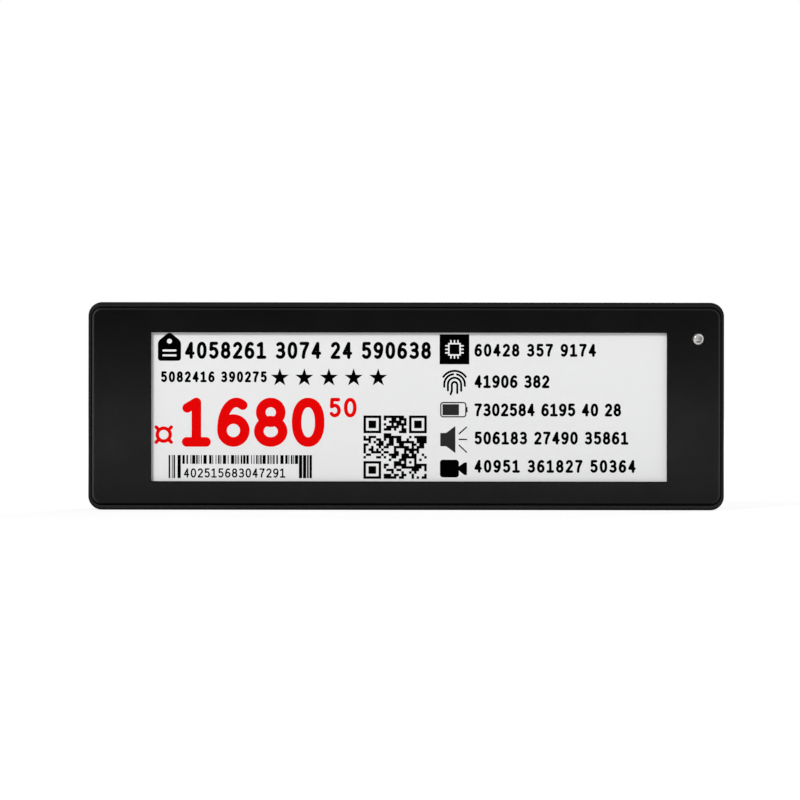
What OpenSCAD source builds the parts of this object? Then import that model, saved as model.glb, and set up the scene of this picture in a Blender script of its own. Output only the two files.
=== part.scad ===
// Electronic shelf label that stands on its lower edge, front towards -Y.
// Each piece is drawn lying on its back, with Z up towards the viewer of the
// screen, and stand() then stands it up with the origin under its middle.

/* [Body] */
// Width of the label
body_w = 129.5; // [129:0.1:150]
// Height of the label
body_h = 42.3; // [42:0.1:52]
// Corner radius of the outline
corner_r = 2.8; // [2.5:0.1:4]
// Thickness of the side walls behind the bezel's skirt
side_wall = 1.4; // [1.2:0.05:1.5]
// Thickness of the back wall
back_wall = 1.2; // [1:0.05:1.3]
// Rounding of the edge round the back
back_edge_r = 1.1; // [0.5:0.1:1.2]
// Rounding of the rim's outer edge
rim_edge_r = 0.45; // [0.2:0.05:0.5]
// Width of the rim that shows left and right of the bezel
rim_side_w = 0.55; // [0.55:0.05:0.8]
// Width of the rim that shows above and below the bezel
rim_top_w = 0.95; // [0.9:0.05:1.1]

/* [Bezel] */
// How far the bezel's face stands in front of the rim
bezel_proud = 0.35; // [0.1:0.05:0.5]
// Thickness of the bezel's face
bezel_t = 1.2; // [1:0.05:1.4]
// Thickness of the lip round the window
lip_t = 0.7; // [0.5:0.05:0.8]
// Rounding of the bezel's front edge
bezel_edge_r = 0.4; // [0.2:0.05:0.6]
// Corner radius of the bezel
bezel_corner_r = 2.1; // [1.8:0.1:2.5]
// Gap between the bezel and the rim
seam = 0.12; // [0.08:0.01:0.2]
// Thickness of the bezel's skirt
skirt_t = 0.8; // [0.6:0.05:0.9]
// Length of the skirt behind the bezel's face
skirt_h = 3.2; // [2.5:0.1:3.6]

/* [Display] */
// Distance from the label's left side to the window
margin_left = 12.82; // [12.6:0.02:14]
// Distance from the window to the label's right side
margin_right = 11.68; // [11.5:0.02:13]
// Distance from the label's top to the window
margin_top = 6.17; // [5.9:0.01:8]
// Distance from the window to the label's bottom
margin_bottom = 5.83; // [5.7:0.01:8]
// Bevel round the window's front edge
window_bevel = 0.15; // [0.05:0.05:0.3]
// Thickness of the gasket behind the lip
gasket_t = 0.2; // [0.1:0.05:0.3]
// Thickness of the electronic-paper film
film_t = 0.5; // [0.3:0.05:0.6]
// How far the film reaches behind the lip
film_margin = 1.6; // [1.2:0.1:1.8]
// Thickness of the display's glass
glass_t = 0.7; // [0.5:0.05:0.8]
// Width of the glass ledge that carries the driver
ledge_w = 4.5; // [4:0.1:4.8]
// Thickness of the tape behind the glass
tape_t = 0.15; // [0.1:0.05:0.2]

/* [Light pipe] */
// Diameter of the light pipe's lens
lens_d = 2.2; // [1.6:0.1:2.4]
// Gap round the lens
lens_gap = 0.2; // [0.05:0.01:0.25]
// Distance of the lens from the right side
lens_from_side = 5.25; // [5:0.05:5.6]
// Distance of the lens from the top
lens_from_top = 7.45; // [6.5:0.05:9]

/* [Board] */
// Thickness of the panel carrier's plate
carrier_t = 0.8; // [0.6:0.05:0.9]
// Height of the carrier's ribs between its plate and the board
carrier_rib_h = 1.05; // [1:0.05:1.2]
// Thickness of the circuit board
board_t = 1; // [0.8:0.1:1.1]
// Diameter of the board screws
screw_d = 1.6; // [1.4:0.1:1.8]

/* [Cells] */
// Diameter of one coin cell
cell_d = 24.5; // [20:0.1:24.5]
// Thickness of one coin cell
cell_t = 5; // [3.2:0.1:5.4]
// Gap between a cell and its pocket
cell_gap = 0.3; // [0.2:0.05:0.4]
// Thickness of the wall between two pockets
cell_web = 0.9; // [0.8:0.1:1.4]
// Room for the contact springs between the cells and the board
contact_room = 0.8; // [0.7:0.1:1.2]

/* [Battery door] */
// How far the door's opening reaches past the end pockets
door_end = 2.45; // [2.2:0.05:3]
// How far the door's opening reaches past the pockets above and below
door_side = 1.65; // [1.4:0.05:2]
// Thickness of the door
door_t = 1.1; // [0.9:0.05:1.1]
// Gap between the door and its opening
door_gap = 0.25; // [0.2:0.01:0.3]
// How far the door's tabs reach under the back wall
tab_reach = 1.4; // [1:0.1:1.5]

/* [Setup button] */
// Diameter of the button
button_d = 3.2; // [2.6:0.1:3.6]
// How far the button lies below the back face
button_sunk = 0.4; // [0.2:0.05:0.5]
// How far the button travels
button_travel = 0.3; // [0.2:0.05:0.35]
// Length of the button's stem
stem_h = 0.9; // [0.6:0.1:1.2]

/* [Clip slots] */
// Length of a slot for a rail clip
slot_w = 12; // [8:0.5:13]
// Width of a slot's mouth
slot_h = 2.2; // [1.8:0.1:2.4]
// Distance from the label's side to the middle of a slot
slot_from_side = 13.75; // [13:0.05:15]

/* [Hidden] */
$fn = 48;

// Overrun of every cut past the face that it opens
over = 0.5;
// Clearance where two fixed pieces lie face to face
face_gap = 0.1;

// Heights above the back face, from the cells up to the bezel's face
deck_z = back_wall;
deck_t = 0.8;
cell_z = back_wall + 2 * face_gap;
cell_top_z = cell_z + cell_t;
board_back_z = cell_top_z + contact_room;
board_z = board_back_z + board_t;
carrier_back_z = board_z + carrier_rib_h;
carrier_z = carrier_back_z + carrier_t;
glass_back_z = carrier_z + tape_t;
glass_z = glass_back_z + glass_t;
film_z = glass_z + film_t;
lip_z = film_z + gasket_t;
face_z = lip_z + lip_t;

// Depth of the label, and the heights that go down from the bezel's face
body_d = face_z;
rim_z = face_z - bezel_proud;
bezel_back_z = face_z - bezel_t;
skirt_z = bezel_back_z - skirt_h;
shelf_z = skirt_z - face_gap;

// Outlines of the bezel and of the space inside its skirt
bezel_w = body_w - 2 * (rim_side_w + seam);
bezel_h = body_h - 2 * (rim_top_w + seam);
skirt_in_w = bezel_w - 2 * skirt_t;
skirt_in_h = bezel_h - 2 * skirt_t;
skirt_in_r = bezel_corner_r - skirt_t;

// The window, and how far it lies right of the middle and below it
window_w = body_w - margin_left - margin_right;
window_h = body_h - margin_top - margin_bottom;
window_right = (margin_left - margin_right) / 2;
window_down = (margin_top - margin_bottom) / 2;

// Outlines of the display's layers
film_w = window_w + 2 * film_margin;
film_h = window_h + 2 * film_margin;
glass_edge = 0.3;
glass_w = film_w + 2 * glass_edge + ledge_w;
glass_h = film_h + 2 * glass_edge;
glass_x = window_right - ledge_w / 2;
ledge_x = window_right - film_w / 2 - glass_edge;
glass_left_x = ledge_x - ledge_w;
glass_right_x = glass_left_x + glass_w;
panel_gap = 0.2;
rebate_gap = 0.25;

// Outlines of the carrier and the board
carrier_gap = 0.38;
carrier_w = skirt_in_w - 2 * carrier_gap;
carrier_h = skirt_in_h - 2 * carrier_gap;
board_gap = 1;
board_w = body_w - 2 * (side_wall + board_gap);
board_h = body_h - 2 * (side_wall + board_gap);
inner_corner_r = 1;

// Place of the light pipe
lens_x = body_w / 2 - lens_from_side;
lens_y = body_h / 2 - lens_from_top;

// Screw bosses on the bezel's back, midway between the glass and the skirt
boss_d = 3.2;
boss_from_edge = 3.9;
boss_below_lens = 7.5;
boss_left_x = (glass_left_x - skirt_in_w / 2) / 2;
boss_right_x = (glass_right_x + skirt_in_w / 2) / 2;
boss_y = skirt_in_h / 2 - boss_from_edge;
boss_mid_y = lens_y - boss_below_lens;
boss_gap = 0.2;
boss_bore_gap = 0.05;
boss_places = [[boss_left_x, boss_y], [boss_left_x, -boss_y],
               [boss_right_x, -boss_y], [boss_right_x, boss_mid_y]];

// Pockets for the cells, side by side
pocket_d = cell_d + 2 * cell_gap;
pocket_wall = 0.9;
pocket_z = board_back_z - 2 * face_gap;
cell_pitch = cell_d + 2 * cell_gap + cell_web;

// Opening of the door, its hinge end, its tabs and its tongue
door_w = 2 * cell_pitch + pocket_d + 2 * door_end;
door_h = pocket_d + 2 * door_side;
door_end_x = door_w / 2;
door_corner_r = 1.5;
tab_t = 0.8;
tab_w = 4;
tab_from_corner = 1.2;
tab_y = door_h / 2 - door_corner_r - tab_from_corner - tab_w / 2;
tab_root = 2.4;
tab_side_gap = 0.3;
tab_end_gap = 1;
deck_margin = 1.6;

// Place of the setup button and of the switch behind it
slot_x = body_w / 2 - slot_from_side;
button_x = slot_x;
button_y = 0;
button_gap = 0.1;
flange_step = 0.8;
flange_d = button_d + 2 * flange_step;
flange_t = 0.8;
stem_d = 2;
plunger_h = 0.7;
plunger_z = back_wall + face_gap + flange_t + stem_h;
switch_h = board_back_z - plunger_z - plunger_h;

// Moves a piece that lies on its back so that it stands up
module stand() {
  translate([0, body_d / 2, body_h / 2]) rotate([90, 0, 0]) children();
}

// A flat outline given thickness from one height to another
module layer(z0, z1) {
  translate([0, 0, z0]) linear_extrude(z1 - z0) children();
}

// A rectangle with round corners
module round_rect(w, h, r) {
  square([w - 2 * r, h], center = true);
  square([w, h - 2 * r], center = true);
  for (x = [-1, 1], y = [-1, 1])
    translate([x * (w / 2 - r), y * (h / 2 - r)]) circle(r);
}

// Carries an edge profile round a rectangle with round corners
module edge_sweep(w, h, r) {
  for (a = [0, 180])
    rotate(a) {
      translate([w / 2, h / 2 - r]) rotate([90, 0, 0]) linear_extrude(h - 2 * r) children();
      rotate(90) translate([h / 2, w / 2 - r]) rotate([90, 0, 0]) linear_extrude(w - 2 * r) children();
      translate([w / 2 - r, h / 2 - r]) rotate_extrude(angle = 90) translate([r, 0]) children();
      translate([r - w / 2, h / 2 - r]) rotate(90) rotate_extrude(angle = 90) translate([r, 0]) children();
    }
}

// What a rounding tool takes off an outer edge
module round_over(r) {
  difference() {
    translate([-r, -r]) square(r + over);
    translate([-r, -r]) circle(r);
  }
}

// Places its children at the middle of each coin cell
module at_cells() {
  for (i = [-1, 0, 1])
    translate([i * cell_pitch, 0]) children();
}

// Four slots for rail clips, two along the top and two along the bottom
slot_edge = 2.35;
slot_depth = 3.8;
slot_hook = 0.8;
slot_wall = 0.8;
slot_y = body_h / 2 - slot_edge - slot_h / 2;

module at_slots() {
  for (x = [-1, 1], turn = [0, 180])
    rotate(turn) translate([x * slot_x, slot_y]) children();
}

// Beads on the skirt that snap into hollows of the rim
bead_r = 0.35;
bead_w = 8;
bead_z = skirt_z + 1.2;
bead_shares = [-0.62, -0.22, 0.22, 0.62];

module snap_beads(r, w) {
  for (share = bead_shares, side = [-1, 1])
    translate([share * bezel_w / 2 - w / 2, side * bezel_h / 2, bead_z])
      rotate([0, 90, 0]) cylinder(h = w, r = r);
}

// Posts and ribs inside the back
post_d = 2.4;
post_y = cell_d / 2;
rib_t = 0.8;
rib_h = 2;
contact_slot_w = 5.6;
contact_slot_z = 2.8;
scoop_w = 9;
scoop_depth = 0.7;
scoop_r = (scoop_w * scoop_w / 4 + scoop_depth * scoop_depth) / (2 * scoop_depth);
detent_r = 0.25;
detent_w = 6.6;
detent_z = 0.75;
guide_wall = 0.7;
guide_d = flange_d + 2 * (boss_gap + guide_wall);
guide_h = 1.9;

module back_ribs() {
  for (i = [-1.5, -0.5, 0.5, 1.5], side = [-1, 1])
    translate([i * cell_pitch - rib_t / 2, side > 0 ? door_h / 2 : side_wall - body_h / 2 - over])
      cube([rib_t, body_h / 2 - side_wall - door_h / 2 + over, back_wall + rib_h]);
}

module rear_housing() {
  color([0.1, 0.1, 0.105]) stand() {
    difference() {
      union() {
        difference() {
          layer(0, rim_z) round_rect(body_w, body_h, corner_r);
          layer(back_wall, rim_z + over)
            round_rect(body_w - 2 * side_wall, body_h - 2 * side_wall, corner_r - side_wall);
          layer(shelf_z, rim_z + over)
            round_rect(bezel_w + 2 * seam, bezel_h + 2 * seam, bezel_corner_r + seam);
          snap_beads(bead_r + face_gap, bead_w + 2 * rebate_gap);
        }
        layer(deck_z - over, deck_z + deck_t)
          round_rect(door_w + 2 * deck_margin, door_h + 2 * deck_margin, door_corner_r);
        layer(deck_z, pocket_z) at_cells() circle(d = pocket_d + 2 * pocket_wall);
        for (x = [-0.5, 0.5], y = [-1, 1])
          translate([x * cell_pitch, y * post_y, deck_z])
            cylinder(h = board_back_z - face_gap - deck_z, d = post_d);
        back_ribs();
        translate([0, 0, back_wall / 2]) at_slots()
          layer(0, slot_depth + slot_wall - back_wall / 2)
            square([slot_w + 2 * slot_wall, slot_h + slot_hook + 2 * slot_wall], center = true);
        translate([button_x, button_y, back_wall / 2]) cylinder(h = guide_h + back_wall / 2, d = guide_d);
      }
      translate([0, 0, rim_z]) edge_sweep(body_w, body_h, corner_r) round_over(rim_edge_r);
      mirror([0, 0, 1]) edge_sweep(body_w, body_h, corner_r) round_over(back_edge_r);
      layer(-over, deck_z) round_rect(door_w, door_h, door_corner_r);
      layer(deck_z - over, pocket_z + over) at_cells() circle(d = pocket_d);
      at_cells()
        translate([-contact_slot_w / 2, -pocket_d / 2 - pocket_wall - over, contact_slot_z])
          cube([contact_slot_w, pocket_wall + 2 * over, pocket_z]);
      for (y = [-tab_y, tab_y])
        translate([-door_end_x - deck_margin - over, y - tab_w / 2 - tab_side_gap, deck_z])
          cube([deck_margin + over + tab_root + tab_end_gap, tab_w + 2 * tab_side_gap, deck_t + over]);
      translate([door_end_x, -detent_w / 2, detent_z])
        rotate([-90, 0, 0]) cylinder(h = detent_w, r = detent_r);
      translate([door_end_x, 0, scoop_depth - scoop_r]) sphere(scoop_r);
      translate([button_x, button_y, -over]) cylinder(h = back_wall + 2 * over, d = button_d + 2 * button_gap);
      translate([button_x, button_y, back_wall]) cylinder(h = guide_h + over, d = flange_d + 2 * boss_gap);
      at_slots() {
        layer(-over, back_wall + over) square([slot_w, slot_h], center = true);
        translate([0, slot_hook / 2]) layer(back_wall, slot_depth)
          square([slot_w, slot_h + slot_hook], center = true);
      }
    }
  }
}

module window_cut() {
  translate([window_right, -window_down]) {
    layer(lip_z - over, face_z + over) square([window_w, window_h], center = true);
    for (a = [0, 180])
      rotate(a) {
        translate([window_w / 2, window_h / 2 + window_bevel, face_z]) rotate([90, 0, 0])
          linear_extrude(window_h + 2 * window_bevel) window_bevel_profile();
        translate([-window_w / 2 - window_bevel, window_h / 2, face_z]) rotate([90, 0, 90])
          linear_extrude(window_w + 2 * window_bevel) window_bevel_profile();
      }
  }
}

module window_bevel_profile() {
  polygon([[-over, -window_bevel], [0, -window_bevel], [window_bevel, 0], [window_bevel, over], [-over, over]]);
}

collar_t = 0.9;
collar_h = 0.9;
bore_depth = 2.6;

module front_bezel() {
  color([0.12, 0.12, 0.125]) stand() {
    difference() {
      union() {
        layer(bezel_back_z, face_z) round_rect(bezel_w, bezel_h, bezel_corner_r);
        difference() {
          layer(skirt_z, bezel_back_z) round_rect(bezel_w, bezel_h, bezel_corner_r);
          layer(skirt_z - over, bezel_back_z) round_rect(skirt_in_w, skirt_in_h, skirt_in_r);
        }
        snap_beads(bead_r, bead_w);
        for (p = boss_places)
          translate([p.x, p.y, board_z]) cylinder(h = bezel_back_z - board_z, d = boss_d);
        translate([lens_x, lens_y, bezel_back_z - collar_h])
          cylinder(h = collar_h, d = pipe_flange_d + 2 * (boss_gap + collar_t));
      }
      translate([0, 0, face_z]) edge_sweep(bezel_w, bezel_h, bezel_corner_r) round_over(bezel_edge_r);
      window_cut();
      translate([glass_x, -window_down]) layer(bezel_back_z - over, lip_z)
        square([glass_w + 2 * rebate_gap, glass_h + 2 * rebate_gap], center = true);
      for (p = boss_places)
        translate([p.x, p.y, board_z - over])
          cylinder(h = bore_depth + over, d = screw_d + 2 * boss_bore_gap);
      translate([lens_x, lens_y, bezel_back_z - over]) cylinder(h = bezel_t + 2 * over, d = lens_d + 2 * lens_gap);
      translate([lens_x, lens_y, bezel_back_z - collar_h - over])
        cylinder(h = collar_h + over, d = pipe_flange_d + 2 * boss_gap);
    }
  }
}

gasket_back = 0.35;

module window_gasket() {
  color([0.04, 0.04, 0.04]) stand() translate([window_right, -window_down])
    layer(film_z, lip_z) difference() {
      square([film_w, film_h], center = true);
      square([window_w + 2 * gasket_back, window_h + 2 * gasket_back], center = true);
    }
}

pipe_flange_d = 3.6;
pipe_flange_t = 0.6;
pipe_sunk = 0.1;
pipe_dome = 0.35;
led_h = 1;
led_w = 3;
led_l = 2.8;

module light_pipe() {
  color([0.85, 0.87, 0.86]) stand() translate([lens_x, lens_y])
    rotate_extrude() {
      pipe_r = lens_d / 2;
      base_z = board_z + led_h + face_gap;
      dome_z = face_z - pipe_sunk - pipe_dome;
      dome_r = (pipe_r * pipe_r + pipe_dome * pipe_dome) / (2 * pipe_dome);
      translate([0, base_z]) square([pipe_r, dome_z - base_z]);
      translate([0, bezel_back_z - pipe_flange_t]) square([pipe_flange_d / 2, pipe_flange_t]);
      intersection() {
        translate([0, dome_z + pipe_dome - dome_r]) circle(dome_r);
        translate([0, dome_z]) square([pipe_r, pipe_dome + over]);
      }
    }
}

module display_film() {
  color([0.88, 0.88, 0.87]) stand() translate([window_right, -window_down])
    layer(glass_z, film_z) square([film_w, film_h], center = true);
}

module display_glass() {
  color([0.62, 0.66, 0.66]) stand() translate([glass_x, -window_down])
    layer(glass_back_z, glass_z) square([glass_w, glass_h], center = true);
}

driver_w = 1.2;
driver_l = 16;
driver_t = 0.3;

module display_driver() {
  color([0.2, 0.2, 0.22]) stand()
    translate([ledge_x - driver_w / 2 - driver_w, -window_down])
      layer(glass_z, glass_z + driver_t) square([driver_w, driver_l], center = true);
}

flex_t = 0.12;
flex_w = 12;
flex_bond = 1;
flex_clear = 0.9;
connector_side = 1.25;
connector_w = flex_w + 2 * connector_side;
connector_l = 4.2;
connector_h = 1.2;
connector_lever = 0.9;
flex_in = 1.7;

module display_flex() {
  top_z = glass_z + flex_t / 2;
  low_z = board_back_z - connector_h / 2;
  bend_r = (top_z - low_z) / 2;
  bend_x = glass_left_x - flex_clear;
  color([0.78, 0.5, 0.16]) stand() rotate([90, 0, 0]) linear_extrude(flex_w, center = true) {
    translate([bend_x, top_z - flex_t / 2]) square([flex_clear + flex_bond, flex_t]);
    translate([bend_x, low_z - flex_t / 2]) square([flex_clear + flex_bond + flex_in, flex_t]);
    difference() {
      translate([bend_x, low_z + bend_r]) circle(bend_r + flex_t / 2);
      translate([bend_x, low_z + bend_r]) circle(bend_r - flex_t / 2);
      translate([bend_x, low_z - over]) square(2 * (bend_r + over));
    }
  }
}

module panel_tape() {
  color([0.75, 0.72, 0.6]) stand() translate([window_right, -window_down])
    layer(carrier_z, glass_back_z) square([film_w, film_h], center = true);
}

// The left edge of carrier and board steps in to leave the tail its way round
tail_edge_x = glass_left_x - flex_clear + rebate_gap;
tail_side_gap = 1;
carrier_lip_t = 0.8;
rib_places_shares = [-0.5, -0.17, 0.17, 0.5];

module tail_notch(w) {
  translate([-body_w / 2, -flex_w / 2 - tail_side_gap])
    square([body_w / 2 + tail_edge_x, flex_w + 2 * tail_side_gap]);
}

module panel_carrier() {
  color([0.8, 0.8, 0.78]) stand() difference() {
    union() {
      layer(carrier_back_z, carrier_z) round_rect(carrier_w, carrier_h, inner_corner_r);
      difference() {
        translate([glass_x, -window_down]) layer(carrier_z, glass_z - gasket_t / 2)
          square([glass_w + 2 * (panel_gap + carrier_lip_t), glass_h + 2 * (panel_gap + carrier_lip_t)], center = true);
        translate([glass_x, -window_down]) layer(carrier_z, glass_z + over)
          square([glass_w + 2 * panel_gap, glass_h + 2 * panel_gap], center = true);
      }
      difference() {
        layer(board_z, carrier_back_z) round_rect(board_w, board_h, inner_corner_r);
        layer(board_z - over, carrier_back_z)
          round_rect(board_w - 2 * carrier_lip_t, board_h - 2 * carrier_lip_t, inner_corner_r);
      }
      for (share = rib_places_shares)
        translate([share * board_w - rib_t / 2, -board_h / 2 + over, board_z])
          cube([rib_t, board_h - 2 * over, carrier_rib_h]);
    }
    layer(board_z - over, glass_z + over) tail_notch();
    for (p = boss_places)
      translate([p.x, p.y, board_z - over])
        cylinder(h = glass_z - board_z + 2 * over, d = boss_d + 2 * boss_gap);
    translate([lens_x, lens_y, board_z - over])
      cylinder(h = glass_z - board_z + 2 * over, d = pipe_flange_d + 2 * (2 * boss_gap + collar_t));
  }
}

hole_gap = 0.1;

module main_board() {
  color([0.05, 0.3, 0.16]) stand() difference() {
    layer(board_back_z, board_z) round_rect(board_w, board_h, inner_corner_r);
    layer(board_back_z - over, board_z + over) tail_notch();
    for (p = boss_places)
      translate([p.x, p.y, board_back_z - over]) cylinder(h = board_t + 2 * over, d = screw_d + 2 * hole_gap);
  }
}

module flex_connector() {
  mouth = flex_t + 2 * face_gap;
  back_x = tail_edge_x + rebate_gap;
  color([0.85, 0.82, 0.72]) stand() difference() {
    union() {
      translate([back_x, -connector_w / 2, board_back_z - connector_h])
        cube([connector_l, connector_w, connector_h]);
      translate([back_x + connector_l, -connector_w / 2 + connector_lever, board_back_z - connector_lever])
        cube([connector_lever, connector_w - 2 * connector_lever, connector_lever]);
    }
    translate([back_x - over, -flex_w / 2 - face_gap, board_back_z - connector_h / 2 - mouth / 2])
      cube([connector_l - connector_lever + over, flex_w + 2 * face_gap, mouth]);
  }
}

// Places on the board's back: beside the left screws, and round the switch
head_d = 3;
head_h = 0.8;
part_gap = 1.4;
edge_margin = 1.05;
shield_w = 10;
shield_l = 8;
shield_h = 2;
shield_x = boss_left_x + head_d / 2 + part_gap + shield_w / 2;
shield_y = edge_margin + shield_l / 2 - board_h / 2;
shield_r = 0.5;
shield_hole_d = 0.9;
shield_hole_pitch = 2.4;

module radio_shield() {
  color([0.75, 0.76, 0.78]) stand() translate([shield_x, shield_y]) difference() {
    layer(board_back_z - shield_h, board_back_z) round_rect(shield_w, shield_l, shield_r);
    translate([0, 0, board_back_z - shield_h]) mirror([0, 0, 1])
      edge_sweep(shield_w, shield_l, shield_r) round_over(shield_r / 2);
    for (x = [-1, 0, 1], y = [-1, 0, 1])
      translate([x * shield_hole_pitch, y * shield_hole_pitch, board_back_z - shield_h - over])
        cylinder(h = shield_hole_d + over, d = shield_hole_d);
  }
}

copper_t = 0.1;
track_w = 0.7;
track_pitch = 1.6;
meander_h = 4;
meanders = 4;

module board_antenna() {
  antenna_x = boss_left_x + head_d / 2 + part_gap;
  color([0.8, 0.45, 0.2]) stand() translate([antenna_x, board_h / 2 - edge_margin - meander_h])
    layer(board_back_z - copper_t, board_back_z) {
      for (i = [0:2 * meanders]) {
        translate([i * track_pitch, 0]) square([track_w, meander_h]);
        if (i < 2 * meanders)
          translate([i * track_pitch, i % 2 == 0 ? meander_h - track_w : 0])
            square([track_pitch + track_w, track_w]);
      }
    }
}

crystal_w = 3.2;
crystal_l = 1.6;
crystal_h = 0.8;
crystal_r = 0.4;

module crystal() {
  crystal_x = shield_x + shield_w / 2 + part_gap + crystal_l / 2;
  color([0.82, 0.8, 0.72]) stand() translate([crystal_x, shield_y])
    layer(board_back_z - crystal_h, board_back_z) round_rect(crystal_l, crystal_w, crystal_r);
}

switch_w = 6;
switch_side = 4;

chip_w = 5;
chip_l = 6;
chip_h = 1.6;
chip_lift = 0.15;
chip_leg_w = 0.4;
chip_leg_t = 0.2;
chip_leg_reach = 1;
chip_leg_pitch = 1.27;
chip_y = button_y - switch_w / 2 - switch_side - chip_l / 2;

module memory_chip() {
  color([0.14, 0.14, 0.15]) stand() translate([button_x, chip_y]) {
    layer(board_back_z - chip_h, board_back_z - chip_lift) square([chip_w, chip_l], center = true);
    for (i = [-1.5, -0.5, 0.5, 1.5], side = [0, 180])
      rotate(side) translate([chip_w / 2 - chip_leg_t, i * chip_leg_pitch - chip_leg_w / 2, 0]) {
        translate([0, 0, board_back_z - chip_leg_t]) cube([chip_leg_reach, chip_leg_w, chip_leg_t]);
        translate([0, 0, board_back_z - chip_h / 2]) cube([2 * chip_leg_t, chip_leg_w, chip_h / 2]);
      }
  }
}

coil_w = 5;
coil_h = 2.6;
coil_r = 0.9;
coil_core_d = 4.2;
coil_groove = 1.2;
coil_y = button_y + switch_w / 2 + switch_side + coil_w / 2;

module power_inductor() {
  color([0.3, 0.3, 0.32]) stand() translate([button_x - coil_w / 2, coil_y]) difference() {
    layer(board_back_z - coil_h, board_back_z) round_rect(coil_w, coil_w, coil_r);
    translate([0, 0, board_back_z - coil_h / 2 - coil_groove / 2]) difference() {
      cylinder(h = coil_groove, d = 2 * coil_w);
      translate([0, 0, -over]) cylinder(h = coil_groove + 2 * over, d = coil_core_d);
    }
  }
}

cap_l = 2;
cap_w = 1.25;
cap_h = 1;
cap_pitch = 2.2;
cap_count = 4;

module board_capacitors() {
  color([0.68, 0.56, 0.42]) stand()
    for (i = [0:cap_count - 1])
      translate([button_x + part_gap + cap_l / 2, coil_y + (i - (cap_count - 1) / 2) * cap_pitch])
        layer(board_back_z - cap_h, board_back_z) square([cap_l, cap_w], center = true);
}

led_base_share = 0.6;
led_dome_d = 2.2;

module indicator_led() {
  color([0.95, 0.93, 0.75]) stand() translate([lens_x, lens_y]) {
    layer(board_z, board_z + led_h * led_base_share) square([led_w, led_l], center = true);
    layer(board_z + led_h * led_base_share, board_z + led_h) circle(d = led_dome_d);
  }
}

switch_r = 0.6;
plunger_d = 2.2;
plunger_in = 0.7;
plunger_gap = 0.1;

module setup_switch() {
  color([0.2, 0.2, 0.21]) stand() translate([button_x, button_y]) difference() {
    layer(board_back_z - switch_h, board_back_z) round_rect(switch_w, switch_w, switch_r);
    translate([0, 0, board_back_z - switch_h - over])
      cylinder(h = over + plunger_in + button_travel + face_gap, d = plunger_d + 2 * plunger_gap);
  }
}

module switch_plunger() {
  color([0.85, 0.84, 0.8]) stand()
    translate([button_x, button_y, plunger_z]) cylinder(h = plunger_h + plunger_in, d = plunger_d);
}

module setup_button() {
  color([0.16, 0.16, 0.165]) stand() translate([button_x, button_y]) {
    difference() {
      translate([0, 0, button_sunk]) cylinder(h = back_wall + face_gap - button_sunk, d = button_d);
      translate([0, 0, button_sunk]) mirror([0, 0, 1])
        rotate_extrude() translate([button_d / 2, 0]) round_over(button_sunk / 2);
    }
    translate([0, 0, back_wall + face_gap]) cylinder(h = flange_t, d = flange_d);
    translate([0, 0, back_wall + face_gap + flange_t]) cylinder(h = stem_h, d = stem_d);
  }
}

head_slot_w = 0.5;

module board_screws() {
  color([0.7, 0.71, 0.74]) stand()
    for (p = boss_places)
      translate([p.x, p.y]) difference() {
        union() {
          translate([0, 0, board_back_z - head_h]) cylinder(h = head_h, d = head_d);
          translate([0, 0, board_back_z - face_gap])
            cylinder(h = board_t + bore_depth - 2 * face_gap, d = screw_d);
        }
        for (turn = [0, 90])
          rotate(turn) translate([-head_d / 4, -head_slot_w / 2, board_back_z - head_h - over])
            cube([head_d / 2, head_slot_w, head_h / 2 + over]);
      }
}

spring_t = 0.2;
spring_w = 2.4;
spring_base_w = 7;
spring_arm = 4.5;

module negative_contacts() {
  low_z = cell_top_z;
  color([0.8, 0.79, 0.72]) stand() at_cells() {
    layer(board_back_z - spring_t, board_back_z) square([spring_w, spring_base_w], center = true);
    for (side = [0, 180])
      rotate(side) translate([0, spring_w / 2, 0]) rotate([90, 0, 0]) linear_extrude(spring_w)
        polygon([[0, board_back_z - spring_t], [0, board_back_z], [spring_w / 2, board_back_z],
                 [spring_arm, low_z + 2 * spring_t], [spring_arm + spring_w / 2, low_z + 2 * spring_t],
                 [spring_arm + spring_w / 2, low_z + spring_t], [spring_arm, low_z + spring_t / 2],
                 [spring_w / 2, board_back_z - spring_t]]);
  }
}

side_spring_w = 4.6;
side_spring_foot = 3;
side_spring_gap = 0.05;
side_spring_z = contact_slot_z + 0.6;

module positive_contacts() {
  color([0.8, 0.79, 0.72]) stand() at_cells()
    translate([0, -cell_d / 2 - side_spring_gap - spring_t]) {
      translate([-side_spring_w / 2, 0, side_spring_z])
        cube([side_spring_w, spring_t, board_back_z - side_spring_z]);
      translate([-side_spring_w / 2, -side_spring_foot, board_back_z - spring_t])
        cube([side_spring_w, side_spring_foot + over / 2, spring_t]);
    }
}

cell_edge_r = 0.5;
cell_cap_step = 1.6;
cell_cap_h = 0.8;

module coin_cell() {
  color([0.8, 0.8, 0.82]) stand() rotate_extrude() {
    cell_r = cell_d / 2;
    can_z = cell_top_z - cell_cap_h;
    translate([0, cell_z]) square([cell_r - cell_edge_r, cell_edge_r]);
    translate([0, cell_z + cell_edge_r]) square([cell_r, can_z - cell_z - cell_edge_r]);
    intersection() {
      translate([cell_r - cell_edge_r, cell_z + cell_edge_r]) circle(cell_edge_r);
      translate([cell_r - cell_edge_r, cell_z]) square(cell_edge_r);
    }
    translate([0, can_z]) square([cell_r - cell_cap_step / 2, cell_cap_h / 2]);
    translate([0, can_z]) square([cell_r - cell_cap_step, cell_cap_h]);
  }
}

module coin_cell_1() { translate([-cell_pitch, 0, 0]) coin_cell(); }
module coin_cell_2() { coin_cell(); }
module coin_cell_3() { translate([cell_pitch, 0, 0]) coin_cell(); }

tongue_w = 10.4;
tongue_l = 7;
tongue_slit = 0.6;
catch_r = 0.15;
catch_w = 6;
pad_d = 8;
pad_h = 0.2;
grip_w = 6;
grip_t = 0.5;
grip_pitch = 1.1;
grip_count = 4;

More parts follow.
